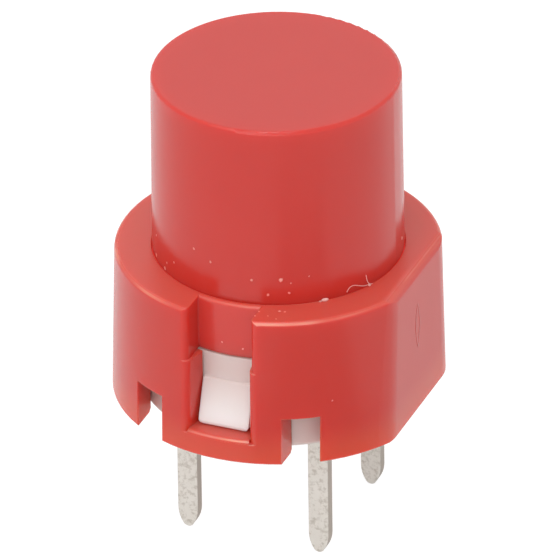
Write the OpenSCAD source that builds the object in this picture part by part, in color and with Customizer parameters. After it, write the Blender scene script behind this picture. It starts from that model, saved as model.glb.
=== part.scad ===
// Round momentary key switch for a circuit board: a hollow button slides in a latched housing
// and drives a snap dome through a spring and a pusher.
// Millimetres. The origin is on the axis in the plane of the housing rim, which sits on the board.
// +Z points up to the button, -Y to the front latch, +X to the flat on the housing.

/* [Button] */
// Diameter of the button where it runs in the collar
button_d = 9.05; // [7.5:0.05:11]
// How much narrower the button's diameter is at its top
button_taper = 0.10; // [0:0.01:0.3]
// How far the button stands above the housing when released
button_proud = 6.95; // [4:0.05:9]
// Thickness of the button's roof
button_roof = 1.0; // [0.6:0.05:1.5]
// Wall of the button's lower skirt
button_wall = 0.6; // [0.45:0.05:0.8]
// Radius on the button's top edge
button_edge = 0.13; // [0.05:0.01:0.4]
// Travel of the button
travel = 0.9; // [0.6:0.01:1.1]
// Height of the retaining hooks
hook_h = 0.65; // [0.5:0.05:0.8]
// Width of the retaining hooks
hook_w = 1.5; // [1:0.05:2]
// How far the skirt reaches below the hooks
skirt_below = 0.12; // [0.1:0.01:0.2]
// Directions of the retaining hooks
hook_angles = [45, 135, 225, 315];

/* [Housing] */
// Height of the skirt, from the rim to the underside of the collar
skirt_h = 3.65; // [3:0.05:4.5]
// Height of the collar
collar_h = 2.1; // [1.6:0.05:2.6]
// Thickness of the collar, outside the bore
collar_wall = 1.325; // [1.1:0.005:1.7]
// How much wider the rim's radius is than the top's
body_draft = 0.16; // [0.05:0.01:0.3]
// Wall of the skirt at the rim
skirt_wall = 0.94; // [0.7:0.01:1.1]
// Radius on the housing's top edge
body_edge = 0.18; // [0.05:0.01:0.3]
// Chamfer on the rim's outer edge
rim_edge = 0.06; // [0.03:0.01:0.15]
// Depth of the flat, measured in from the top radius
flat_depth = 0.50; // [0.3:0.01:0.7]
// Wall behind the flat
flat_wall = 0.6; // [0.45:0.01:0.7]
// Radius on the upright corners of the flat
flat_corner = 1.8; // [0.5:0.05:2]
// Radius on the flat's top edge
flat_edge = 0.35; // [0.1:0.01:0.4]

/* [Latch] */
// Width of the groove down the collar
groove_w = 2.4; // [2:0.01:3]
// Angle between the sides of the window below it
latch_angle = 23; // [18:0.1:28]
// Angle of the thick wall on each side of the window
jamb_angle = 5.5; // [4:0.1:7]
// Thickness of the collar left behind the groove
groove_web = 0.225; // [0.18:0.005:0.4]
// Height of the bar under the latch window
bar_h = 0.92; // [0.7:0.01:1.1]
// Radius on the groove's upright outer edges
groove_edge = 0.25; // [0.1:0.01:0.3]
// Radius on the groove's top edge and the bar's outer edge
latch_edge = 0.14; // [0.05:0.01:0.16]
// How far the snap lugs stand out of the recess behind them
lug_reach = 0.55; // [0.45:0.01:0.7]
// Distance from the collar down to the top of the lug's ramp
lug_drop = 1.05; // [0.6:0.05:1.2]
// Distance from the middle to each rim notch
notch_from = 2.29; // [1.9:0.01:2.8]
// Width of the rim notches
notch_w = 1.22; // [0.8:0.01:1.5]
// Height of the rim notches
notch_h = 1.86; // [1:0.01:2]

/* [Base] */
// How far the base's underside sits above the rim
base_recess = 0.1; // [0.05:0.01:0.3]
// Thickness of the base's floor
floor_t = 1.2; // [1:0.05:1.4]
// Outer wall of the base
base_wall = 0.72; // [0.6:0.01:0.9]
// Depth of the recess that the snap lugs stand in
lug_recess = 0.17; // [0.12:0.01:0.25]
// Wall of the ring that guides the pusher
guide_wall = 0.35; // [0.3:0.01:0.45]
// Chamfer round the underside
base_chamfer = 0.15; // [0.05:0.01:0.3]

/* [Pins and contacts] */
// Distance between pins, both ways
pin_pitch = 5.08; // [4.2:0.01:6.1]
// Width of a pin
pin_w = 0.76; // [0.6:0.01:0.9]
// Thickness of the terminal strip
strip_t = 0.4; // [0.3:0.01:0.5]
// Length of the pins below the rim
pin_length = 5.18; // [3:0.01:6.2]
// Length of the tapered tip of a pin
tip_length = 0.75; // [0.5:0.01:1.2]
// Radius on the very end of a pin
tip_r = 0.22; // [0.1:0.01:0.28]
// Plastic above the embedded terminal frames
strip_cover = 0.15; // [0.1:0.01:0.2]
// Radius of the contacts
contact_r = 0.35; // [0.25:0.01:0.42]
// Height of the rim contacts above the floor
contact_proud = 0.15; // [0.1:0.01:0.2]

/* [Snap dome, pusher and spring] */
// Travel of the pusher, which is the stroke of the dome
dome_stroke = 0.3; // [0.2:0.01:0.36]
// Thickness of the dome's steel
dome_t = 0.07; // [0.05:0.01:0.1]
// Thickness of the pusher's disc
pusher_t = 0.6; // [0.4:0.05:0.8]
// Height of the pusher's stem
stem_h = 0.48; // [0.4:0.01:0.6]
// Radius of the pusher's stem
stem_r = 0.55; // [0.4:0.05:0.7]
// Diameter of the spring wire
wire_d = 0.25; // [0.2:0.01:0.3]
// Middle radius of the spring's coils
coil_r = 1.25; // [1.1:0.01:1.4]
// Number of working turns
coil_turns = 8; // [5:1:10]
// Wall of the tube that holds the spring in the button
tube_wall = 0.6; // [0.45:0.05:0.7]

/* [Clearances] */
// Button to collar, on the radius
guide_gap = 0.035; // [0.025:0.005:0.1]
// Base to skirt, on the radius
base_gap = 0.1; // [0.05:0.01:0.15]
// Between running faces inside, on the radius
run_gap = 0.1; // [0.05:0.01:0.15]
// Play under the collar, of the base and of the hooks
seat_gap = 0.05; // [0.02:0.01:0.08]
// Left under the button at the end of its travel
stop_gap = 0.05; // [0.02:0.01:0.08]
// Snap lug to the bar below it and to the window's sides
latch_gap = 0.025; // [0.02:0.005:0.08]
// Spring to its tube and pilot, on the radius
spring_gap = 0.175; // [0.1:0.005:0.2]
// Moulded plastic to the metal it holds
insert_gap = 0.02; // [0.01:0.005:0.03]

/* [Hidden] */
$fn = 96;

// Finish
red = [0.84, 0.27, 0.24];
white = [0.93, 0.91, 0.89];
tin = [0.80, 0.78, 0.74];
silver = [0.86, 0.86, 0.87];
steel = [0.62, 0.64, 0.66];

// Radii, from the button outwards
button_r = button_d / 2;
button_top_r = button_r - button_taper / 2;
bore_r = button_r + guide_gap;
body_top_r = bore_r + collar_wall;
body_rim_r = body_top_r + body_draft;
skirt_in_r = body_rim_r - skirt_wall;
base_r = skirt_in_r - base_gap;
groove_r = bore_r + groove_web;
recess_r = base_r - lug_recess;
jamb_r = recess_r + base_gap;
pad_angle = latch_angle + 2 * jamb_angle;
flat_x = body_top_r - flat_depth;
flat_in_x = flat_x - flat_wall;
base_flat_x = flat_in_x - base_gap;

// Radii, from the base's wall inwards
well_r = base_r - base_wall;
button_skirt_r = well_r - run_gap;
button_in_r = button_skirt_r - button_wall;
guide_out_r = button_in_r - 2 * run_gap;
guide_in_r = guide_out_r - guide_wall;
pusher_r = guide_in_r - run_gap;
dome_r = guide_in_r - 1.5 * run_gap;
hook_r = skirt_in_r - 2.5 * base_gap;
coil_out_r = coil_r + wire_d / 2;
coil_in_r = coil_r - wire_d / 2;
tube_in_r = coil_out_r + spring_gap;
pilot_r = coil_in_r - spring_gap;

// Heights
body_h = skirt_h + collar_h;
button_top = body_h + button_proud;
roof_z = button_top - button_roof;
base_top = skirt_h - seat_gap;
hook_top = skirt_h - seat_gap;
hook_z = hook_top - hook_h;
slot_z = hook_z - travel - stop_gap;
skirt_z = hook_z - skirt_below;
stop_z = skirt_z - travel - stop_gap;
step_z = base_top + travel + run_gap;
floor_z = base_recess + floor_t;
strip_top = floor_z - strip_cover;
strip_z = strip_top - strip_t;
guide_top = base_top - 0.3;
lug_z = bar_h + latch_gap;
lug_top = skirt_h - lug_drop;
lug_w = 2 * (jamb_r * sin(latch_angle / 2) - latch_gap);

// The dome stands on the rim contacts, and its stroke ends on the centre contact
dome_z = floor_z + contact_proud;
dome_rise = dome_stroke + 0.03;
dome_top = dome_z + dome_rise + dome_t;
centre_top = dome_top - dome_t - dome_stroke;
dome_sphere = (dome_r * dome_r + dome_rise * dome_rise) / (2 * dome_rise);
pusher_z = dome_top + 0.02;
disc_z = pusher_z + stem_h;
spring_z = disc_z + pusher_t;
spring_h = roof_z - spring_z;

// Rim contacts: one in front and one on each side of the rear half
rim_contact_r = dome_r - contact_r + 0.05;
front_contact = [0, -rim_contact_r];
left_contact = [-rim_contact_r * cos(30), rim_contact_r * sin(30)];
right_contact = [rim_contact_r * cos(30), rim_contact_r * sin(30)];
tab_r = contact_r + 0.07;

leg_x = pin_pitch / 2;
far = 3 * body_rim_r;
eps = 0.01;

// ---------- shared shapes ----------

// Solid of revolution whose top outer edge is rounded
module turned_post(r, z0, z1, edge) {
    rotate_extrude() {
        polygon([[0, z0], [r, z0], [r, z1 - edge], [r - edge, z1 - edge], [r - edge, z1], [0, z1]]);
        translate([r - edge, z1 - edge]) circle(edge);
    }
}

// What has to go from a square outer corner at [x, z] to leave it round
module corner_waste(x, z, r) {
    translate([x - r, z - r]) difference() {
        square(r + eps);
        circle(r);
    }
}

module tube(r_out, r_in, z0, z1) {
    translate([0, 0, z0]) difference() {
        cylinder(r = r_out, h = z1 - z0);
        translate([0, 0, -eps]) cylinder(r = r_in, h = z1 - z0 + 2 * eps);
    }
}

// Rectangle centred on X, standing on Y = 0, with its corners rounded in steps of 15 degrees
module soft_rect(w, h, r) {
    corners = [[w / 2 - r, h - r], [r - w / 2, h - r], [r - w / 2, r], [w / 2 - r, r]];
    polygon([for (i = [0 : 3], a = [0 : 15 : 90]) corners[i] + r * [cos(90 * i + a), sin(90 * i + a)]]);
}

// Both latches: the front one as drawn, the rear one turned half round
module at_latches() {
    for (turn = [0, 180]) rotate(turn) children();
}

// Upright wedge about the front latch, its edge on the axis
module wedge(angle, z0, z1) {
    side = far * [sin(angle / 2), -cos(angle / 2)];
    translate([0, 0, z0]) linear_extrude(z1 - z0) polygon([[0, 0], [-side.x, side.y], side]);
}

// Everything on the axis side of an upright plane at x
module keep_below_x(x) {
    translate([x - far, -far / 2, -far / 2]) cube(far);
}

// ---------- housing ----------

// Outside of the housing before it is cut: drafted, with a round top edge and a chamfered rim
module housing_blank() {
    top = body_top_r - body_edge;
    rotate_extrude() {
        polygon([[0, 0], [body_rim_r - rim_edge, 0], [body_rim_r, rim_edge],
                 [body_top_r, body_h - body_edge], [top, body_h - body_edge], [top, body_h], [0, body_h]]);
        translate([top, body_h - body_edge]) circle(body_edge);
    }
}

// Distance from the X axis to the middle of the flat's corner radius, where the body has radius r
function flat_corner_y(r) =
    sqrt(pow(r - flat_corner, 2) - pow(flat_x - flat_corner, 2));

// Waste at the flat's +Y upright corner: it leans with the draft
module flat_corner_waste() {
    y_rim = flat_corner_y(body_rim_r);
    y_top = flat_corner_y(body_top_r);
    lean = atan((y_rim - y_top) / body_h);
    turn = atan(y_rim / (flat_x - flat_corner));
    reach = 3 * flat_corner;
    translate([flat_x - flat_corner, y_rim, 0]) rotate([lean, 0, 0])
        translate([0, 0, -flat_corner]) linear_extrude(body_h + 2 * flat_corner) difference() {
            polygon([[0, 0], [reach, 0], [reach, reach], reach * [cos(turn), sin(turn)]]);
            circle(flat_corner);
        }
}

module flat_waste() {
    translate([flat_x, -far / 2, -far / 2]) cube(far);
    flat_corner_waste();
    mirror([0, 1, 0]) flat_corner_waste();
    rotate([90, 0, 0]) linear_extrude(far, center = true) corner_waste(flat_x, body_h, flat_edge);
}

// Room for the base, with a lead-in at the rim: the wall is thicker about each window
module housing_cavity() {
    lead = 0.12;
    difference() {
        intersection() {
            rotate_extrude() polygon([[0, -eps], [skirt_in_r + lead, -eps], [skirt_in_r, lead],
                                      [skirt_in_r, skirt_h], [0, skirt_h]]);
            keep_below_x(flat_in_x);
        }
        at_latches() difference() {
            wedge(pad_angle, -1, skirt_h + 1);
            translate([0, 0, -1]) cylinder(r = jamb_r, h = skirt_h + 2);
        }
    }
}

// Groove down the collar, with parallel sides and a round top edge on its floor
module groove_waste() {
    difference() {
        translate([-groove_w / 2, -far, skirt_h]) cube([groove_w, far, collar_h + 1]);
        turned_post(groove_r, 0, body_h, latch_edge);
    }
}

// Window through the skirt below the groove: it leaves the bar at the rim
module window_waste() {
    difference() {
        wedge(latch_angle, bar_h, skirt_h + eps);
        cylinder(r = recess_r, h = skirt_h + 1);
    }
    intersection() {
        wedge(latch_angle, 0, body_h);
        rotate_extrude() corner_waste(body_rim_r - body_draft * bar_h / body_h, bar_h, latch_edge);
    }
}

// Waste at the outer edge of an upright wall that faces -X and stands at x: it leans with the draft
module outer_edge_waste(x, z0, z1) {
    axis_x = x + groove_edge;
    y_rim = sqrt(pow(body_rim_r - groove_edge, 2) - axis_x * axis_x);
    y_top = sqrt(pow(body_top_r - groove_edge, 2) - axis_x * axis_x);
    lean = atan((y_rim - y_top) / body_h);
    side = groove_edge + eps;
    reach = 3 * groove_edge;
    intersection() {
        translate([axis_x, -y_rim, 0]) rotate([-lean, 0, 0])
            translate([0, 0, -groove_edge]) linear_extrude(body_h + 2 * groove_edge) difference() {
                polygon([[0, 0], reach / body_rim_r * [axis_x, -y_rim], [-side, -reach], [-side, 0]]);
                circle(groove_edge);
            }
        translate([-far / 2, -far, z0]) cube([far, far, z1 - z0]);
    }
}

// The outer edges of the groove and of the window
module upright_edges() {
    for (flip = [0, 1]) mirror([flip, 0, 0]) {
        outer_edge_waste(groove_w / 2, skirt_h, body_h + 1);
        rotate(latch_angle / 2) outer_edge_waste(0, bar_h - latch_edge, skirt_h + eps);
    }
}

module rim_notches() {
    for (turn = [0, 180], flip = [0, 1]) rotate(turn) mirror([flip, 0, 0])
        translate([notch_from, -body_rim_r - 1, -1]) cube([notch_w, body_rim_r - 1.5, notch_h + 1]);
}

module housing() {
    color(red) difference() {
        housing_blank();
        flat_waste();
        housing_cavity();
        cylinder(r = bore_r, h = body_h + 1);
        at_latches() {
            groove_waste();
            window_waste();
            upright_edges();
        }
        rim_notches();
    }
}

// ---------- button ----------

// Half section of the hollow button, closed at the top and open below
module button_section() {
    taper_z = body_h + 0.2;
    lead = 0.15;
    skirt_lead = skirt_below - 0.04;
    difference() {
        union() {
            polygon([[0, skirt_z], [button_skirt_r - skirt_lead, skirt_z],
                     [button_skirt_r, skirt_z + skirt_lead],
                     [button_skirt_r, step_z], [button_r - lead, step_z],
                     [button_r, step_z + lead], [button_r, taper_z],
                     [button_top_r, button_top - button_edge],
                     [button_top_r - button_edge, button_top - button_edge],
                     [button_top_r - button_edge, button_top], [0, button_top]]);
            translate([button_top_r - button_edge, button_top - button_edge]) circle(button_edge);
        }
        translate([-button_in_r, skirt_z - 1]) square([2 * button_in_r, roof_z - skirt_z + 1]);
        translate([-far, 0]) square([far, far]);
    }
}

// Tube under the roof that keeps the spring upright, braced to the wall by ribs
module spring_tube() {
    tube_out_r = tube_in_r + tube_wall;
    tube_h = 0.72 * spring_h;
    rib_t = 0.5;
    rib_h = 0.35 * spring_h;
    tube(tube_out_r, tube_in_r, roof_z - tube_h, roof_z + eps);
    for (turn = [0 : 90 : 270]) rotate(turn)
        translate([tube_out_r - 0.1, -rib_t / 2, roof_z - rib_h])
            cube([button_in_r - tube_out_r + 0.2, rib_t, rib_h + eps]);
}

// Hooks that catch under the collar and run in the slots of the base
module hooks() {
    for (turn = hook_angles) rotate(turn) intersection() {
        translate([button_skirt_r - 0.2, -hook_w / 2, hook_z]) cube([hook_r, hook_w, hook_h]);
        rotate_extrude() polygon([[0, hook_z], [hook_r - 0.3, hook_z], [hook_r, hook_z + 0.3],
                                  [hook_r, hook_top], [0, hook_top]]);
    }
}

module button() {
    color(red) {
        rotate_extrude() button_section();
        spring_tube();
        hooks();
    }
}

// ---------- base ----------

module base_blank() {
    intersection() {
        rotate_extrude() polygon([[0, base_recess], [base_r - base_chamfer, base_recess],
                                  [base_r, base_recess + base_chamfer], [base_r, base_top], [0, base_top]]);
        keep_below_x(base_flat_x);
    }
}

// Room inside the base: the pusher's well, the button's skirt round it, and the hooks' slots
module well_waste() {
    rotate_extrude() polygon([[0, floor_z], [guide_in_r, floor_z], [guide_in_r, guide_top],
                              [guide_out_r, guide_top], [guide_out_r, stop_z], [well_r, stop_z],
                              [well_r, far], [0, far]]);
    for (turn = hook_angles) rotate(turn)
        translate([well_r - 0.3, -hook_w / 2 - run_gap, slot_z]) cube([far, hook_w + 2 * run_gap, far]);
}

// Recess for the thick wall about a window, which the snap lug stands in
module lug_recess_waste() {
    side_gap = asin(base_gap / recess_r);
    difference() {
        wedge(pad_angle + 2 * side_gap, 0, far);
        cylinder(r = recess_r, h = far);
    }
}

// Snap lug: a ramp that faces up, ending in a nose over the bar, with soft corners
module lug() {
    root_r = recess_r - 0.25;
    corner_r = 0.22;
    nose_r = recess_r + lug_reach;
    land = 0.16;
    intersection() {
        rotate([90, 0, 90]) linear_extrude(lug_w, center = true)
            polygon([[-root_r, lug_z], [-nose_r + 0.06, lug_z], [-nose_r, lug_z + 0.06],
                     [-nose_r, lug_z + land], [-recess_r - 0.04, lug_top], [-root_r, lug_top + 0.1]]);
        translate([0, 0, lug_z]) rotate([90, 0, 0])
            linear_extrude(far) soft_rect(lug_w, lug_top - lug_z + 1, corner_r);
    }
}

// Room for the metal that is moulded into the floor
module insert_waste() {
    front_frame(insert_gap);
    rear_frame(insert_gap);
    for (place = [front_contact, left_contact, right_contact, [0, 0]])
        translate([place.x, place.y, strip_z]) cylinder(r = contact_r + insert_gap, h = floor_t);
}

module base() {
    gate_r = 0.8;
    gate_depth = 0.2;
    color(white) difference() {
        union() {
            difference() {
                base_blank();
                well_waste();
                at_latches() lug_recess_waste();
            }
            at_latches() lug();
        }
        translate([0, 0, base_recess - eps]) cylinder(r = gate_r, h = gate_depth + eps);
        insert_waste();
    }
}

// ---------- terminals and contacts ----------

// Flat pin, pointing down: its straight sides curve in and run smoothly into a round tip
module pin_outline(gap) {
    half = pin_w / 2;
    drop = tip_length - tip_r;
    side_r = (half * half + drop * drop - tip_r * tip_r) / (2 * (half - tip_r));
    start = -pin_length + tip_length;
    meet = start - drop * side_r / (side_r - tip_r);
    translate([-half - gap, start]) square([2 * half + 2 * gap, strip_top - start + gap]);
    intersection() {
        translate([half - side_r, start]) circle(side_r);
        translate([side_r - half, start]) circle(side_r);
        translate([-half, meet]) square([2 * half, start - meet + eps]);
    }
    translate([0, -pin_length + tip_r]) circle(tip_r);
}

module pin(x, y, gap) {
    translate([x, y, 0]) rotate([90, 0, 0])
        linear_extrude(strip_t + 2 * gap, center = true) pin_outline(gap);
}

module strip(gap) {
    translate([0, 0, strip_z - gap]) linear_extrude(strip_t + 2 * gap) children();
}

// Frame with the two front pins: a bar between them and a tab under each rim contact
module front_frame(gap) {
    bar_w = strip_t + 0.2;
    bar_y = -leg_x - strip_t / 2;
    for (x = [-leg_x, leg_x]) pin(x, -leg_x, gap);
    strip(gap) {
        bar_half = leg_x + pin_w / 2 + gap;
        translate([-bar_half, bar_y - gap]) square([2 * bar_half, bar_w + 2 * gap]);
        for (place = [front_contact, left_contact, right_contact]) {
            low = min(place.y, bar_y + bar_w / 2);
            high = max(place.y, bar_y + bar_w / 2);
            translate([place.x - tab_r - gap, low]) square([2 * (tab_r + gap), high - low]);
            translate(place) circle(tab_r + gap);
        }
    }
}

// Frame with the two rear pins: a bar between them and a tongue to the middle
module rear_frame(gap) {
    bar_w = strip_t + 0.1;
    bar_y = leg_x + strip_t / 2 - bar_w;
    tongue_r = tab_r + 0.2;
    for (x = [-leg_x, leg_x]) pin(x, leg_x, gap);
    strip(gap) {
        bar_half = leg_x + pin_w / 2 + gap;
        translate([-bar_half, bar_y - gap]) square([2 * bar_half, bar_w + 2 * gap]);
        translate([-tongue_r - gap, 0]) square([2 * (tongue_r + gap), bar_y + bar_w / 2]);
        circle(tongue_r + gap);
    }
}

module terminal_front() {
    color(tin) front_frame(0);
}

module terminal_rear() {
    color(tin) rear_frame(0);
}

// Silver contact standing on a terminal frame, its face slightly bevelled
module contact(place, top) {
    bevel = 0.05;
    color(silver) translate([place.x, place.y, strip_top]) {
        cylinder(r = contact_r, h = top - strip_top - bevel);
        translate([0, 0, top - strip_top - bevel])
            cylinder(r1 = contact_r, r2 = contact_r - bevel, h = bevel);
    }
}

module contact_centre() {
    contact([0, 0], centre_top);
}

module contact_front() {
    contact(front_contact, dome_z);
}

module contact_left() {
    contact(left_contact, dome_z);
}

module contact_right() {
    contact(right_contact, dome_z);
}

// ---------- snap dome, pusher and spring ----------

module snap_dome() {
    color(steel) translate([0, 0, dome_z]) rotate_extrude() intersection() {
        translate([0, dome_rise - dome_sphere]) difference() {
            circle(dome_sphere + dome_t, $fn = 360);
            circle(dome_sphere, $fn = 360);
        }
        square([dome_r, 1]);
    }
}

// Disc in the guide ring, with a stem on the dome and a pilot inside the spring
module pusher() {
    edge = 0.1;
    pilot_h = 1.05;
    color(white) rotate_extrude() polygon([
        [0, pusher_z], [stem_r - edge, pusher_z], [stem_r, pusher_z + edge], [stem_r, disc_z],
        [pusher_r - edge, disc_z], [pusher_r, disc_z + edge], [pusher_r, spring_z - edge],
        [pusher_r - edge, spring_z], [pilot_r, spring_z], [pilot_r, spring_z + pilot_h - 2 * edge],
        [pilot_r - 2 * edge, spring_z + pilot_h], [0, spring_z + pilot_h]]);
}

// Height of the wire's middle after a number of turns: the end turns lie closed
function coil_z(turn) =
    let (closed = wire_d, rise = (spring_h - wire_d - 2 * closed) / coil_turns)
    spring_z + wire_d / 2 + (turn < 1 ? turn * closed
        : turn < coil_turns + 1 ? closed + (turn - 1) * rise
        : closed + coil_turns * rise + (turn - coil_turns - 1) * closed);

// Wire swept along the coil, one ring of points after another
module return_spring() {
    sides = 6;
    steps = 16;
    rings = steps * (coil_turns + 2);
    points = [for (i = [0 : rings], j = [0 : sides - 1])
        let (turn = 360 * i / steps, lean = 360 * (j + 0.5) / sides,
             r = coil_r + wire_d / 2 * cos(lean))
        [r * cos(turn), r * sin(turn), coil_z(i / steps) + wire_d / 2 * sin(lean)]];
    walls = [for (i = [0 : rings - 1], j = [0 : sides - 1])
        let (a = i * sides + j, b = i * sides + (j + 1) % sides)
        [a, a + sides, b + sides, b]];
    first = [for (j = [0 : sides - 1]) j];
    last = [for (j = [sides - 1 : -1 : 0]) rings * sides + j];
    color(steel) polyhedron(points, concat(walls, [first, last]), convexity = 10);
}

housing();
base();
button();
pusher();
return_spring();
snap_dome();
terminal_front();
terminal_rear();
contact_centre();
contact_front();
contact_left();
contact_right();
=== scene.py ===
import math

import bmesh
import bpy
from mathutils import Matrix, Vector


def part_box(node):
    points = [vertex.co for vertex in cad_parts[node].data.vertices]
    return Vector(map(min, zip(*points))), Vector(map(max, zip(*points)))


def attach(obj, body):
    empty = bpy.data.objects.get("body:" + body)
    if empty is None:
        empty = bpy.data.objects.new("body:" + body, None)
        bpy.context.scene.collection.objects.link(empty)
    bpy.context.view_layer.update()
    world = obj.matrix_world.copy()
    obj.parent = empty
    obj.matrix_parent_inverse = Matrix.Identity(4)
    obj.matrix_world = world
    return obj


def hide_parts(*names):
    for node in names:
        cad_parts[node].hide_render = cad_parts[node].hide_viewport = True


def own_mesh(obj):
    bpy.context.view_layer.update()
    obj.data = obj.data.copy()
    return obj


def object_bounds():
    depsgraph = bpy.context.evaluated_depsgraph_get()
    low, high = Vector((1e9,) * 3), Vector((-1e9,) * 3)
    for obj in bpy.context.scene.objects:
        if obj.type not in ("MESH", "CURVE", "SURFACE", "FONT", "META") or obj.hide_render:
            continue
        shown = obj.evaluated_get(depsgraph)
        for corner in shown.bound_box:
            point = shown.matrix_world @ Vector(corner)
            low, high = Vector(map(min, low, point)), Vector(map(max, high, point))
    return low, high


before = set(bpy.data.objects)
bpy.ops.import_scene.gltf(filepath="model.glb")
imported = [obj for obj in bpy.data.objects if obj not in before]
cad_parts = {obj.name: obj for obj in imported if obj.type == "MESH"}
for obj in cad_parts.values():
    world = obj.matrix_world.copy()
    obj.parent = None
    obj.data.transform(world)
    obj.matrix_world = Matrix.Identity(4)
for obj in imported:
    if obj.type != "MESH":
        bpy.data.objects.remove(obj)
cad_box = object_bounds()
MM = 0.001


# ---- Base -------------------------------------------------------------------
# The base is a white moulded cup that closes the switch from below. Its snap lugs hold
# it in the housing. Beside and above them its white is painted pinker, a painted
# reflection of the red that the housing throws on it.


def rgb(r, g, b):
    return (r, g, b, 1)


WHITE_DEEP = rgb(0.84, 0.815, 0.80)
WHITE_PALE = rgb(0.89, 0.87, 0.86)
PAINTED_PINK_BOUNCE = rgb(0.72, 0.61, 0.58)
lug_side_squared = (1.3, 1.7)
lug_face_z = (1.0, 3.2)


class Value:
    """A number on its way through a finish. Arithmetic on it adds Math nodes."""

    def __init__(self, finish, socket):
        self.finish = finish
        self.socket = socket

    def maths(self, operation, first, second=0.0):
        return self.finish.node("Math", {"operation": operation}, "Value", first, second)

    def __add__(self, other):
        return self.maths("ADD", self, other)

    def __radd__(self, other):
        return self.maths("ADD", other, self)

    def __sub__(self, other):
        return self.maths("SUBTRACT", self, other)

    def __rsub__(self, other):
        return self.maths("SUBTRACT", other, self)

    def __mul__(self, other):
        return self.maths("MULTIPLY", self, other)

    def __rmul__(self, other):
        return self.maths("MULTIPLY", other, self)


class Finish:
    """A material: its shader's plain values are set once, and node() adds what varies."""

    def __init__(self, name, **plain):
        self.material = bpy.data.materials.new(name)
        self.material.use_nodes = True
        self.tree = self.material.node_tree
        self.shader = self.tree.nodes["Principled BSDF"]
        self.put(**plain)
        coordinates = self.tree.nodes.new("ShaderNodeTexCoord")
        in_metres = Value(self, coordinates.outputs["Object"])
        self.where = self.node("VectorMath", {"operation": "SCALE"}, "Vector", in_metres,
                               Scale=1 / MM)
        self.facing = Value(self, coordinates.outputs["Normal"])

    def link(self, socket, value):
        if isinstance(value, Value):
            self.tree.links.new(value.socket, socket)
        else:
            socket.default_value = value

    def put(self, **values):
        """Gives the shader's sockets their values or links: Base_Color means Base Color."""
        for name, value in values.items():
            self.link(self.shader.inputs[name.replace("_", " ")], value)

    def node(self, kind, settings, output, *values, **named):
        """Adds one node: its settings first, then its inputs by order or by name."""
        made = self.tree.nodes.new("ShaderNode" + kind)
        for key, setting in settings.items():
            if key == "stops":
                ramp = made.color_ramp
                while len(ramp.elements) < len(setting):
                    ramp.elements.new(0.5)
                for element, (position, shade) in zip(ramp.elements, setting):
                    element.position = position
                    element.color = (shade, shade, shade, 1)
            else:
                setattr(made, key, setting)
        for socket, value in zip(made.inputs, values):
            self.link(socket, value)
        for name, value in named.items():
            self.link(made.inputs[name.replace("_", " ")], value)
        return Value(self, made.outputs[output])

    def part(self, vector, axis):
        """The X, Y or Z part of a vector."""
        return self.node("SeparateXYZ", {}, axis, vector)

    def rise(self, value, low, high):
        """From 0 where the value is low to 1 where it is high, smoothly."""
        return self.node("MapRange", {"interpolation_type": "SMOOTHSTEP"}, "Result",
                         value, low, high)

    def grain(self, per_mm, detail=2.0, rough=0.5):
        """Cloudy noise from 0 to 1, with about so many clouds to the millimetre."""
        return self.node("TexNoise", {}, "Fac", self.where,
                         Scale=per_mm, Detail=detail, Roughness=rough)

    def steps(self, value, *stops):
        """A grey ramp over the value. Each stop is a position and its shade."""
        return self.node("ValToRGB", {"stops": stops}, "Color", value)

    def mix(self, share, first, second):
        """From colour first at share 0 to colour second at share 1."""
        made = self.tree.nodes.new("ShaderNodeMix")
        made.data_type = "RGBA"
        self.link(made.inputs[0], share)
        self.link(made.inputs[6], first)
        self.link(made.inputs[7], second)
        return Value(self, made.outputs[2])

    def soft_edges(self, radius):
        """The way the surface faces, with its edges eased by so many millimetres."""
        return self.node("Bevel", {"samples": 8}, "Normal", Radius=radius * MM)

    def bump(self, height, **base):
        """Bumps so many millimetres high, on the normal given as Normal if there is one."""
        self.put(Normal=self.node("Bump", {}, "Normal",
                                  Strength=1.0, Distance=MM, Height=height, **base))


def coat(node, finish):
    """Gives a CAD node its finish."""
    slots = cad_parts[node].data.materials
    slots.clear()
    slots.append(finish.material)


def piece(name, shape, finish, body, slot, *nodes):
    """Makes a mesh piece of a bmesh. It rides on a body and may stand for CAD nodes."""
    mesh = bpy.data.meshes.new(name)
    shape.to_mesh(mesh)
    shape.free()
    made = bpy.data.objects.new(name, mesh)
    bpy.context.scene.collection.objects.link(made)
    mesh.materials.append(finish.material)
    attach(made, body)
    if nodes:
        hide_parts(*nodes)
    return made


def white_moulding(name):
    """Satin white plastic: its finish, and its colour for a piece that shades it further."""
    made = Finish(name, Roughness=0.42, Subsurface_Weight=0.5, Subsurface_Radius=(1.0, 0.9, 0.8),
                  Subsurface_Scale=0.4 * MM)
    white = made.mix(made.grain(1.2), WHITE_DEEP, WHITE_PALE)
    made.put(Base_Color=white)
    made.bump(0.002 * made.grain(14, 3), Normal=made.soft_edges(0.05))
    return made, white


base_white, white = white_moulding("base_white")
sideways = base_white.part(base_white.where, "X")
beside_lugs = base_white.rise(sideways * sideways, *lug_side_squared)
above_lugs = base_white.rise(base_white.part(base_white.where, "Z"), *lug_face_z)
# The pinker white beside and above the lugs is painted reflected light from the red housing.
painted_bounce = beside_lugs.maths("MAXIMUM", beside_lugs, above_lugs)
base_white.put(Base_Color=base_white.mix(painted_bounce, white, PAINTED_PINK_BOUNCE))
coat("base", base_white)


# ---- Terminals --------------------------------------------------------------
# Two stamped brass frames carry the four pins. They are dull tin plated, mottled by
# handling and age, and the base is moulded round them. Only their faces towards +X are
# darker and plainer, which stands for shade.

TIN_DULL = rgb(0.70, 0.67, 0.61)
TIN_CLEAN = rgb(0.80, 0.77, 0.72)
TIN_SPOT = rgb(0.36, 0.31, 0.25)
TIN_SHADED = rgb(0.45, 0.40, 0.35)
shaded_facing = (0.75, 0.97)


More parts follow.
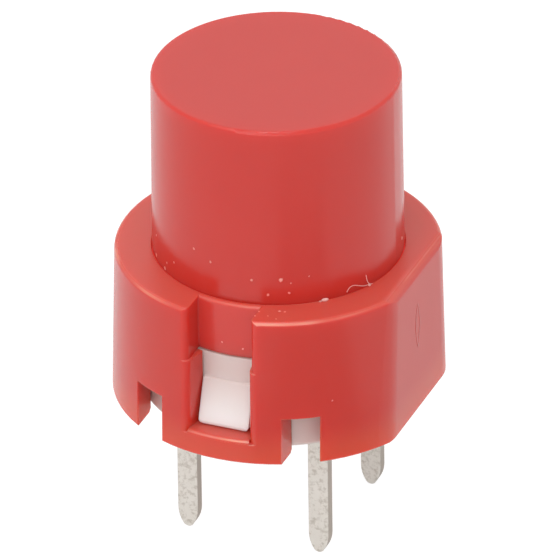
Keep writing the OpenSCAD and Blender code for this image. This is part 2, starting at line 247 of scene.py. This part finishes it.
def tin_plate(name):
    made = Finish(name, Metallic=0.55)
    cloud = made.grain(2.2, 4)
    spots = made.steps(made.grain(6, 4, 0.6), (0.48, 0), (0.66, 1))
    clean = made.mix(cloud, TIN_DULL, TIN_CLEAN)
    face = made.mix(spots * 0.5, clean, TIN_SPOT)
    soft = made.soft_edges(0.05)
    shaded = made.rise(made.part(soft, "X"), *shaded_facing)
    made.put(Base_Color=made.mix(shaded, face, TIN_SHADED))
    made.put(Roughness=0.38 + 0.2 * cloud)
    made.bump(0.003 * made.grain(12, 4), Normal=soft)
    return made


plating = tin_plate("tin_plate")
coat("terminal_front", plating)
coat("terminal_rear", plating)


# ---- Contacts ---------------------------------------------------------------
# Four plain silver contacts stand on the frames, level with the well's floor.


def metal(name, colour, rough, grains):
    """Bare metal, a tenth darker in clouds, with so many fine grains to the millimetre."""
    made = Finish(name, Metallic=1.0)
    cloud = made.grain(3)
    made.put(Base_Color=made.mix(cloud, rgb(*[0.9 * c for c in colour]), rgb(*colour)))
    made.put(Roughness=rough + 0.1 * cloud)
    made.bump(0.0008 * made.grain(grains, 3))
    return made


silver = metal("contact_silver", (0.86, 0.86, 0.84), 0.28, 25)
for place in ("centre", "front", "left", "right"):
    coat("contact_" + place, silver)


# ---- Snap dome --------------------------------------------------------------
# A thin sprung steel disc stands on the rim contacts and clicks down to the centre one.
# It is pressed from strip, so it is as thick at its rim as at its crown.


def smooth(shape, sides=0):
    """Shades the faces smoothly, or only those with so many sides."""
    for face in shape.faces:
        face.smooth = sides in (0, len(face.verts))


dome_low, dome_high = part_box("snap_dome")
dome_thick = 0.07 * MM
dome_arc_steps = 10
dome_round_steps = 64
dome_sharp_angle = math.radians(40)
dome_rise = dome_high.z - dome_low.z - dome_thick
dome_r = dome_high.x
dome_sphere = (dome_r ** 2 + dome_rise ** 2) / (2 * dome_rise)
dome_centre = Vector((0, 0, dome_low.z + dome_rise - dome_sphere))
shape = bmesh.new()
ends = []
for radius in (dome_sphere, dome_sphere + dome_thick):
    crown = shape.verts.new(dome_centre + Vector((0, 0, radius)))
    swung = bmesh.ops.spin(shape, geom=[crown], cent=dome_centre, axis=(0, 1, 0),
                           steps=dome_arc_steps, angle=math.asin(dome_r / radius))
    ends += [v for v in swung["geom_last"] if isinstance(v, bmesh.types.BMVert)]
shape.edges.new(ends)
bmesh.ops.spin(shape, geom=shape.verts[:] + shape.edges[:], cent=(0, 0, 0), axis=(0, 0, 1),
               steps=dome_round_steps, angle=2 * math.pi, use_merge=True)
bmesh.ops.remove_doubles(shape, verts=shape.verts, dist=1e-7)
bmesh.ops.recalc_face_normals(shape, faces=shape.faces)
smooth(shape)
dome = piece("dome_disc", shape, metal("dome_steel", (0.66, 0.67, 0.68), 0.2, 30), "switch_body",
             "dome_steel", "snap_dome")
dome.data.set_sharp_from_angle(angle=dome_sharp_angle)
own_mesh(dome)


# ---- Pusher and spring ------------------------------------------------------
# The moulded pusher runs in the base's ring. The coil spring stands on it and reaches up
# into the button, and its end turns lie closed.

pusher_white, _ = white_moulding("pusher_white")
coat("pusher", pusher_white)

spring_low, spring_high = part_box("return_spring")
wire_r = 0.125 * MM
wire_sides = 12
coil_r = spring_high.x - wire_r
open_turns = 8
closed_turns = 1
turn_steps = 24
closed_rise = 2 * wire_r
open_rise = (spring_high.z - spring_low.z - (2 * closed_turns + 1) * closed_rise) / open_turns
shape = bmesh.new()
bmesh.ops.create_circle(shape, segments=wire_sides, radius=wire_r)
bmesh.ops.rotate(shape, verts=shape.verts, matrix=Matrix.Rotation(math.pi / 2, 3, "X"))
bmesh.ops.translate(shape, verts=shape.verts, vec=(coil_r, 0, spring_low.z + wire_r))
ring = shape.verts[:] + shape.edges[:]
for turns, rise in ((closed_turns, closed_rise), (open_turns, open_rise), (closed_turns, closed_rise)):
    wound = bmesh.ops.spin(shape, geom=ring, cent=(0, 0, 0), axis=(0, 0, 1),
                           steps=turns * turn_steps, angle=2 * math.pi * turns,
                           dvec=(0, 0, rise / turn_steps))
    ring = wound["geom_last"]
bmesh.ops.holes_fill(shape, edges=[e for e in shape.edges if e.is_boundary], sides=wire_sides)
bmesh.ops.recalc_face_normals(shape, faces=shape.faces)
smooth(shape, sides=4)
spring = piece("coil_spring", shape, metal("spring_steel", (0.60, 0.61, 0.62), 0.25, 40), "key",
               "spring_steel", "return_spring")
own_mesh(spring)


# ---- Button -----------------------------------------------------------------
# The hollow button is moulded in glossy red and slides in the housing's collar. Below
# the collar's top it has a painted faint red glow, for the light that comes through the walls.

RED_GLOW = dict(
    Subsurface_Weight=0.8, Subsurface_Radius=(1.0, 0.22, 0.12), Subsurface_Scale=1.0 * MM)
BUTTON_DEEP = rgb(0.60, 0.034, 0.024)
BUTTON_PALE = rgb(0.62, 0.038, 0.026)
UNLIT = rgb(0, 0, 0)
PAINTED_SUNK_GLOW = rgb(0.40, 0.034, 0.028)
DUST = rgb(0.90, 0.38, 0.32)
dust_wobble = 0.08
dust_core = 0.5
body_top_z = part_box("housing")[1].z / MM
sunk_fade = 0.05


def dusted(made, colour, *specks):
    """Adds small pale specks of dust at those places in millimetres, each with its radius."""
    wobble = made.node("TexNoise", {}, "Color", made.where, Scale=9.0, Detail=1.0)
    spot = made.node("VectorMath", {"operation": "MULTIPLY_ADD"}, "Vector",
                     wobble, (dust_wobble,) * 3, made.where)
    found = 0.0
    for *centre, radius in specks:
        moved = [c + dust_wobble / 2 for c in centre]
        away = made.node("VectorMath", {"operation": "DISTANCE"}, "Value", spot, moved)
        speck = 1 - made.rise(away, dust_core * radius, radius)
        found = speck.maths("MAXIMUM", speck, found)
    made.put(Base_Color=made.mix(found, colour, DUST))
    return found


def button_red():
    made = Finish("button_red", IOR=1.5, Emission_Strength=1.0, **RED_GLOW)
    colour = made.mix(made.grain(0.5), BUTTON_DEEP, BUTTON_PALE)
    dust = dusted(
        made, colour,
        (-3.56, -2.79, 6.75, 0.05), (-3.59, -2.75, 5.92, 0.09), (-2.99, -3.39, 5.84, 0.08),
        (-2.48, -3.78, 6.40, 0.05), (-2.86, -3.50, 6.13, 0.05), (-1.50, -4.27, 7.41, 0.06),
        (-0.79, -4.45, 7.12, 0.06), (0.79, -4.45, 6.69, 0.05), (1.79, -4.15, 6.75, 0.09),
        (1.35, -4.31, 6.14, 0.06), (2.04, -4.03, 6.20, 0.05), (2.10, -4.00, 6.60, 0.04),
        (2.66, -3.65, 6.82, 0.04), (4.45, 0.78, 6.36, 0.07),
    )
    made.put(Roughness=0.24 + 0.4 * dust)
    # Below the collar's top the button gets a painted red glow, which stands for light through the
    # walls.
    sunk = made.rise(body_top_z - made.part(made.where, "Z"), 0.0, sunk_fade)
    made.put(Emission_Color=made.mix(sunk, UNLIT, PAINTED_SUNK_GLOW))
    made.bump(0.0012 * made.grain(9, 3) + 0.01 * dust)
    return made


coat("button", button_red())


# ---- Housing ----------------------------------------------------------------
# The housing is one red moulding with a long gate mark on its flat. Its upward faces are
# duller than its sides, and paler, partly as a worn finish and partly as painted light.
# A painted highlight runs in patches along its rounded edges. Its foot is painted paler
# for light thrown back by the floor, and all that lies inside the collar's outer wall,
# such as the bore and the grooves, is painted paler for light that comes through the red.

HOUSING_DEEP = rgb(0.60, 0.036, 0.024)
HOUSING_PALE = rgb(0.62, 0.040, 0.027)
HOUSING_FOOT_BOUNCE = rgb(0.66, 0.072, 0.036)
HOUSING_INSIDE_LIT = rgb(0.60, 0.062, 0.050)
HOUSING_WORN_AND_LIT = rgb(0.64, 0.090, 0.064)
HOUSING_EDGE_HIGHLIGHT = rgb(0.78, 0.30, 0.22)
foot_bounce_z = (0.2, 1.6)
inside_lit_r = (4.84, 4.94)
worn_lit_facing = (0.25, 0.7)
level_facing = (0.9, 0.98)
highlight_facing = (0.3, 0.5)
past_highlight_facing = (0.72, 0.92)
flat_highlight_facing = (0.52, 0.66)
flat_facing = (0.98, 0.999)
gate_z = 3.43
gate_y = -0.09
gate_long_per_mm = 1.1
gate_wide_per_mm = 4.5
gate_inner = (0.85, 1.1)
gate_outer = (1.15, 1.45)
gate_height = 0.035


def housing_red():
    made = Finish("housing_red", IOR=1.5, **RED_GLOW)
    side = made.mix(made.grain(0.5), HOUSING_DEEP, HOUSING_PALE)
    height = made.part(made.where, "Z")
    # The paler foot is painted bounce light from the floor.
    side = made.mix(made.rise(height, *foot_bounce_z), HOUSING_FOOT_BOUNCE, side)
    level_place = made.node("VectorMath", {"operation": "MULTIPLY"}, "Vector", made.where, (1, 1, 0))
    out = made.node("VectorMath", {"operation": "LENGTH"}, "Value", level_place)
    # Inside the collar's outer wall the paler red is painted light that comes through the red.
    side = made.mix(made.rise(out, *inside_lit_r), HOUSING_INSIDE_LIT, side)
    soft = made.soft_edges(0.07)
    up = made.part(soft, "Z")
    # Upward faces are paler: partly a worn finish, partly painted light from above.
    worn_and_lit = made.rise(up, *worn_lit_facing)
    level = made.rise(up, *level_facing)
    colour = made.mix(worn_and_lit, side, HOUSING_WORN_AND_LIT)
    # A painted highlight on the rounded edges, broken in patches and kept off the flat's edge.
    highlight_off_flat = 1 - made.rise(made.part(soft, "X"), *flat_highlight_facing)
    edge_highlight = made.rise(up, *highlight_facing) * (1 - made.rise(up, *past_highlight_facing)) * highlight_off_flat
    highlight_patches = made.rise(made.grain(0.45, 1), 0.35, 0.7)
    colour = made.mix(edge_highlight * highlight_patches, colour, HOUSING_EDGE_HIGHLIGHT)
    dust = dusted(
        made, colour,
        (1.21, -5.23, 5.75, 0.06), (1.65, -5.07, 5.75, 0.05), (1.99, -5.16, 5.75, 0.05),
        (1.25, -4.91, 5.75, 0.05), (1.91, -4.62, 5.75, 0.06), (2.10, -4.60, 5.75, 0.06),
        (2.39, -5.39, 5.67, 0.04), (3.32, -4.86, 5.75, 0.04), (0.54, -4.75, 3.98, 0.05),
        (-0.25, -4.77, 4.12, 0.04), (3.89, -4.56, 2.44, 0.05), (5.01, -3.18, 4.67, 0.04),
    )
    made.put(Roughness=0.24 + 0.18 * level + 0.3 * dust)
    length = (height - gate_z) * gate_long_per_mm
    width = (made.part(made.where, "Y") - gate_y) * gate_wide_per_mm
    away = length * length + width.maths("ABSOLUTE", width) + 0.6 * made.grain(3, 2)
    mark = made.rise(away, *gate_inner) * (1 - made.rise(away, *gate_outer))
    on_flat = made.rise(made.part(made.facing, "X"), *flat_facing)
    made.bump(0.0012 * made.grain(9, 3) + 0.01 * dust + gate_height * mark * on_flat, Normal=soft)
    return made


coat("housing", housing_red())


# ---- Lint -------------------------------------------------------------------
# A branched fibre and three small tufts of lint lie in the corner between the button and
# the collar. Each tuft has its centre, its three half sizes and its turn.

LINT_DEEP = rgb(0.86, 0.38, 0.34)
LINT_PALE = rgb(0.90, 0.56, 0.52)
tufts = (
    ((3.15, -3.38, 5.80), (0.14, 0.07, 0.06), 43),
    ((3.02, -3.50, 5.77), (0.06, 0.03, 0.03), 40),
    ((4.23, -1.83, 5.80), (0.05, 0.08, 0.05), 20),
)
fibre_runs = (
    ((3.72, -2.71, 5.86), (3.77, -2.66, 6.02), (3.88, -2.51, 6.08), (4.02, -2.28, 5.96),
     (4.13, -2.08, 5.86), (4.20, -1.90, 5.83), (4.30, -1.70, 5.79)),
    ((4.17, -1.99, 6.27), (4.18, -1.97, 6.1), (4.21, -1.91, 5.92), (4.26, -1.85, 5.79)),
)
fibre_r = 0.013 * MM

lint_pale = Finish("lint_pale", Roughness=0.9, Subsurface_Weight=0.6,
                   Subsurface_Radius=(1.0, 0.8, 0.7), Subsurface_Scale=0.2 * MM)
lint_pale.put(Base_Color=lint_pale.mix(lint_pale.grain(12), LINT_DEEP, LINT_PALE))

shape = bmesh.new()
for centre, halves, turn in tufts:
    made = bmesh.ops.create_icosphere(shape, subdivisions=2, radius=MM)
    place = Matrix.Translation(Vector(centre) * MM) @ Matrix.Rotation(math.radians(turn), 4, "Z")
    bmesh.ops.transform(shape, verts=made["verts"], matrix=place @ Matrix.Diagonal((*halves, 1)))
smooth(shape)
piece("lint_tufts", shape, lint_pale, "switch_body", "red_housing")

fibre = bpy.data.curves.new("lint_fibre", "CURVE")
fibre.dimensions = "3D"
fibre.bevel_depth = fibre_r
fibre.bevel_resolution = 2
fibre.resolution_u = 6
fibre.use_fill_caps = True
for run in fibre_runs:
    spline = fibre.splines.new("NURBS")
    spline.points.add(len(run) - 1)
    for point, place in zip(spline.points, run):
        point.co = (*[MM * c for c in place], 1)
    spline.use_endpoint_u = True
    spline.order_u = 3
drawn = bpy.data.objects.new("lint_fibre", fibre)
shape = bmesh.new()
shape.from_mesh(drawn.to_mesh())
bpy.data.objects.remove(drawn)
smooth(shape)
piece("lint_fibre", shape, lint_pale, "switch_body", "red_housing")


# ---- Studio -----------------------------------------------------------------
# A pale floor, a white surround and soft lamps. The switch stands on its pins. A grey
# card on the floor, white to the camera, darkens what the front right reflects.

floor_z = cad_box[0].z
floor_half = 3.0
card_half = 9.5 * MM
card_lift = 0.01 * MM
card_place = (0.0138, -0.0158, 0)
card_turn = math.radians(45)
white_strength = 1.25


def plane(name, half, z):
    """A level square sheet."""
    sheet = bmesh.new()
    bmesh.ops.create_grid(sheet, x_segments=1, y_segments=1, size=half)
    bmesh.ops.translate(sheet, verts=sheet.verts, vec=(0, 0, z))
    mesh = bpy.data.meshes.new(name)
    sheet.to_mesh(mesh)
    sheet.free()
    made = bpy.data.objects.new(name, mesh)
    bpy.context.scene.collection.objects.link(made)
    return made


def seen_share(finish, share, off_gloss=1.0):
    """That share for a ray from the camera or through something clear, and less off gloss."""
    rays = finish.tree.nodes.new("ShaderNodeLightPath")
    camera, gloss, clear = [
        Value(finish, rays.outputs["Is %s Ray" % kind]) for kind in ("Camera", "Glossy", "Transmission")]
    seen = camera + off_gloss * gloss + clear
    return share * seen.maths("MINIMUM", seen, 1.0)


def pale_floor(name, half, z, grey, share, off_gloss):
    """A level sheet that looks white to the camera and takes light and shadow below that."""
    sheet = plane(name, half, z)
    pale = Finish(name, Roughness=0.9, Base_Color=rgb(grey, grey, grey))
    glow = pale.tree.nodes.new("ShaderNodeEmission")
    blend = pale.tree.nodes.new("ShaderNodeMixShader")
    pale.link(blend.inputs[0], seen_share(pale, share, off_gloss))
    pale.tree.links.new(pale.shader.outputs[0], blend.inputs[1])
    pale.tree.links.new(glow.outputs[0], blend.inputs[2])
    pale.tree.links.new(blend.outputs[0], pale.tree.nodes["Material Output"].inputs[0])
    glow.inputs["Strength"].default_value = white_strength
    sheet.data.materials.append(pale.material)
    return sheet


pale_floor("floor", floor_half, floor_z, grey=0.86, share=0.72, off_gloss=0.5)
card = pale_floor("card", card_half, floor_z + card_lift, grey=0.5, share=1.0, off_gloss=0.0)
card.location = card_place
card.rotation_euler = (0, 0, card_turn)


class Surround(Finish):
    """The world: it has no Principled shader, only a background."""

    def __init__(self, name):
        self.world = bpy.data.worlds.new(name)
        self.world.use_nodes = True
        self.tree = self.world.node_tree
        self.shader = self.tree.nodes["Background"]


surround = Surround("surround")
bpy.context.scene.world = surround.world
lit = 0.72
surround.put(Color=rgb(1, 1, 1), Strength=lit + seen_share(surround, 1 - lit))


def lamp(name, azimuth, elevation, distance, size, watts, colour=(1, 1, 1)):
    """A square soft lamp that looks at the switch from that side and height."""
    side = math.radians(azimuth)
    height = math.radians(elevation)
    away = Vector((math.sin(side) * math.cos(height), -math.cos(side) * math.cos(height),
                   math.sin(height)))
    light = bpy.data.lights.new(name, "AREA")
    light.energy = watts
    light.size = size
    light.color = colour
    made = bpy.data.objects.new(name, light)
    made.location = away * distance
    made.rotation_mode = "QUATERNION"
    made.rotation_quaternion = away.to_track_quat("Z", "Y")
    bpy.context.scene.collection.objects.link(made)


lamp("key_lamp", azimuth=-20, elevation=60, distance=0.35, size=0.25, watts=0.27,
     colour=(1, 0.99, 0.97))
lamp("front_lamp", azimuth=20, elevation=32, distance=0.35, size=0.25, watts=0.22)
lamp("top_lamp", azimuth=0, elevation=89, distance=0.35, size=0.06, watts=0.09)


# ---- Camera -----------------------------------------------------------------
# A long lens looks down on the switch from the front, a little to the right.

camera_azimuth = math.radians(22.4)
camera_elevation = math.radians(30.13)
camera_roll = math.radians(0.78)
camera_distance = 0.415
pixels_per_mm = 27.745
aim_right = 0.038 * MM
aim_up = 3.567 * MM
picture = 560

forward = Vector((
    -math.sin(camera_azimuth) * math.cos(camera_elevation),
    math.cos(camera_azimuth) * math.cos(camera_elevation),
    -math.sin(camera_elevation),
))
right = Vector((math.cos(camera_azimuth), math.sin(camera_azimuth), 0))
up = right.cross(forward)
lens = bpy.data.cameras.new("camera")
lens.sensor_width = 36
lens.lens = pixels_per_mm / MM * camera_distance / picture * lens.sensor_width
lens.clip_start = 0.01
lens.clip_end = 10
camera = bpy.data.objects.new("camera", lens)
across = right * math.cos(camera_roll) - up * math.sin(camera_roll)
upright = right * math.sin(camera_roll) + up * math.cos(camera_roll)
camera.matrix_world = Matrix.Translation(
    right * aim_right + up * aim_up - forward * camera_distance
) @ Matrix((across, upright, -forward)).transposed().to_4x4()
bpy.context.scene.collection.objects.link(camera)
bpy.context.scene.camera = camera
bpy.context.scene.view_settings.view_transform = "Standard"
